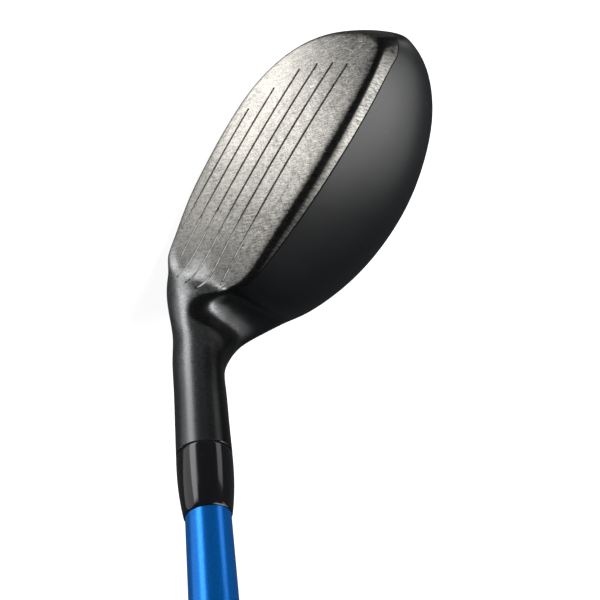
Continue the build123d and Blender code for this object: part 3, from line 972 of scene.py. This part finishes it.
def score_paint():
    """What is left of the score lines' light paint: mostly at the heel, near-black elsewhere."""
    n = Nodes("score_paint")
    across = n.axis(n.place, (1.0, 0.0, 0.0))
    patch = n.noise(260.0, 3.0, 0.6)
    left = n.math("MULTIPLY", n.remap(across, 0.0, 0.024, 0.0, 1.0), n.remap(patch, 0.30, 0.46))
    base = n.blend(left, colour(0.02, 0.019, 0.018), colour(0.95, 0.94, 0.90))
    return n.finish(Base_Color=base, Roughness=0.7)


def worn_metal(name, dark, light, rough, metallic=1.0):
    """A plain turned metal or other hidden stock with a cloudy, finely scratched surface."""
    n = Nodes(name)
    cloud = n.noise(120.0, 4.0, 0.6)
    fine = n.noise(1.0, 2.0, 0.5, n.mapping((3000.0, 3000.0, 600.0)))
    base = n.blend(n.remap(cloud, 0.3, 0.7), dark, light)
    relief = n.bump(fine, 0.00002, 0.4)
    dull = n.remap(fine, 0.3, 0.7, rough, rough + 0.15)
    return n.finish(Base_Color=base, Metallic=metallic, Roughness=dull, Normal=relief)


def dress(item, material):
    """Give an object one material."""
    item.data.materials.clear()
    item.data.materials.append(material)


# ---------------------------------------------------------------- room


def make_floor():
    """A plain pale floor."""
    n = Nodes("floor")
    faint = n.noise(3.0, 2.0, 0.5)
    base = n.blend(faint, colour(0.90, 0.90, 0.90), colour(0.93, 0.93, 0.93))
    n.finish(Base_Color=base, Roughness=0.9, Emission_Color=colour(1, 1, 1), Emission_Strength=0.9)
    mesh = bpy.data.meshes.new("floor")
    sides = [(-1, -1), (1, -1), (1, 1), (-1, 1)]
    corners = [(x * FLOOR_REACH, y * FLOOR_REACH, FLOOR_LEVEL) for x, y in sides]
    mesh.from_pydata(corners, [], [(0, 1, 2, 3)])
    floor = bpy.data.objects.new("floor", mesh)
    bpy.context.scene.collection.objects.link(floor)
    floor.visible_glossy = False
    floor.visible_shadow = False
    dress(floor, n.material)


def soft_box(name, place, target, width, height, radiance, upright=(0.0, 0.0, 1.0)):
    """A soft box aimed at a place, with its height along a direction and an even brightness."""
    data = bpy.data.lights.new(name, "AREA")
    data.shape = "RECTANGLE"
    data.size = width
    data.size_y = height
    data.energy = radiance * math.pi * width * height
    lamp = bpy.data.objects.new(name, data)
    back = (Vector(place) - Vector(target)).normalized()
    side = Vector(upright).cross(back).normalized()
    turn = Matrix((side, back.cross(side), back)).transposed()
    lamp.matrix_world = Matrix.Translation(Vector(place)) @ turn.to_4x4()
    bpy.context.scene.collection.objects.link(lamp)


def make_light():
    """Soft studio light: a low front box, a strip for the hosel, boxes above and behind, and a dim room."""
    world = bpy.data.worlds.new("room")
    world.use_nodes = True
    world.node_tree.nodes["Background"].inputs["Color"].default_value = colour(0.9, 0.95, 1.0)
    world.node_tree.nodes["Background"].inputs["Strength"].default_value = 0.06
    bpy.context.scene.world = world
    soft_box("front_box", (0.08, -0.76, -0.38), (0, 0, 0.02), 1.10, 0.64, 0.70)
    soft_box("strip_box", (-0.15, -0.54, -0.27), (0.07, 0, 0.06), 0.24, 0.60, 2.3, (0.402, -0.534, 0.743))
    soft_box("top_box", (-0.48, 0.24, 0.85), (0, 0, 0.03), 0.90, 0.55, 3.2)
    soft_box("rear_box", (-0.55, 0.68, 0.58), (0, 0, 0.03), 0.70, 0.50, 1.3)
    soft_box("toe_box", (-0.85, 0.28, 0.0), (0.07, 0, 0.06), 0.30, 0.40, 1.1)
    bpy.context.scene.view_settings.view_transform = "Standard"


# ---------------------------------------------------------------- club

make_camera()
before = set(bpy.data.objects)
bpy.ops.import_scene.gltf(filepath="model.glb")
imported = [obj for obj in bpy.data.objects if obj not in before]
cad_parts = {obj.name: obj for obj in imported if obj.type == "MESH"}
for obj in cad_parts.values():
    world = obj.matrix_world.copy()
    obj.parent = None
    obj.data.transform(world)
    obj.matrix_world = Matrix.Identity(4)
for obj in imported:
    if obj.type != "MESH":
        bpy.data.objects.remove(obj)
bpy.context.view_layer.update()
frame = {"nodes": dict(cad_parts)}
nodes = frame["nodes"]

shell, crown, head_surface, sole_place, sole_normal = make_head()
plate = make_face_plate(head_surface)
paint = make_score_paint(head_surface)
weight = make_sole_weight(sole_place, sole_normal)
ferrule = make_ferrule()
shaft = make_shaft()
grip = make_grip()
cap = make_grip_cap()

rubber = grip_rubber()
looks = [
    (shell, "head_body", "cast_steel", head_steel()),
    (plate, "face_plate", "face_steel", face_steel()),
    (paint, "score_line_paint", "score_paint", score_paint()),
    (crown, "crown_plate", "crown_paint", crown_paint()),
    (
        weight,
        "sole_weight",
        "tungsten",
        worn_metal("tungsten", colour(0.2, 0.2, 0.21), colour(0.36, 0.36, 0.36), 0.3),
    ),
    (ferrule, "ferrule", "ferrule_plastic", ferrule_plastic()),
    (shaft, "shaft", "shaft_paint", shaft_paint()),
    (grip, "grip", "grip_rubber", rubber),
    (cap, "grip_cap", "grip_rubber", rubber),
]
for piece, node, slot, material in looks:
    dress(piece, material)
    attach(piece, "root")
    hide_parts(node)

dress(nodes["grip_rings"], worn_metal("ring_paint", colour(0.5, 0.5, 0.5), colour(0.7, 0.7, 0.7), 0.5, 0.0))
dress(nodes["tip_weight"], worn_metal("brass", colour(0.45, 0.3, 0.1), colour(0.7, 0.52, 0.2), 0.3))
dress(nodes["rattle_glue"], worn_metal("glue", colour(0.4, 0.3, 0.1), colour(0.55, 0.42, 0.16), 0.4, 0.0))
dress(nodes["hosel_plug"], worn_metal("cork", colour(0.3, 0.18, 0.09), colour(0.5, 0.34, 0.18), 0.7, 0.0))
dress(nodes["hosel_bond"], worn_metal("bond", colour(0.4, 0.36, 0.25), colour(0.55, 0.5, 0.36), 0.3, 0.0))
dress(nodes["grip_tape"], worn_metal("tape", colour(0.6, 0.55, 0.42), colour(0.72, 0.66, 0.52), 0.7, 0.0))

make_floor()
make_light()
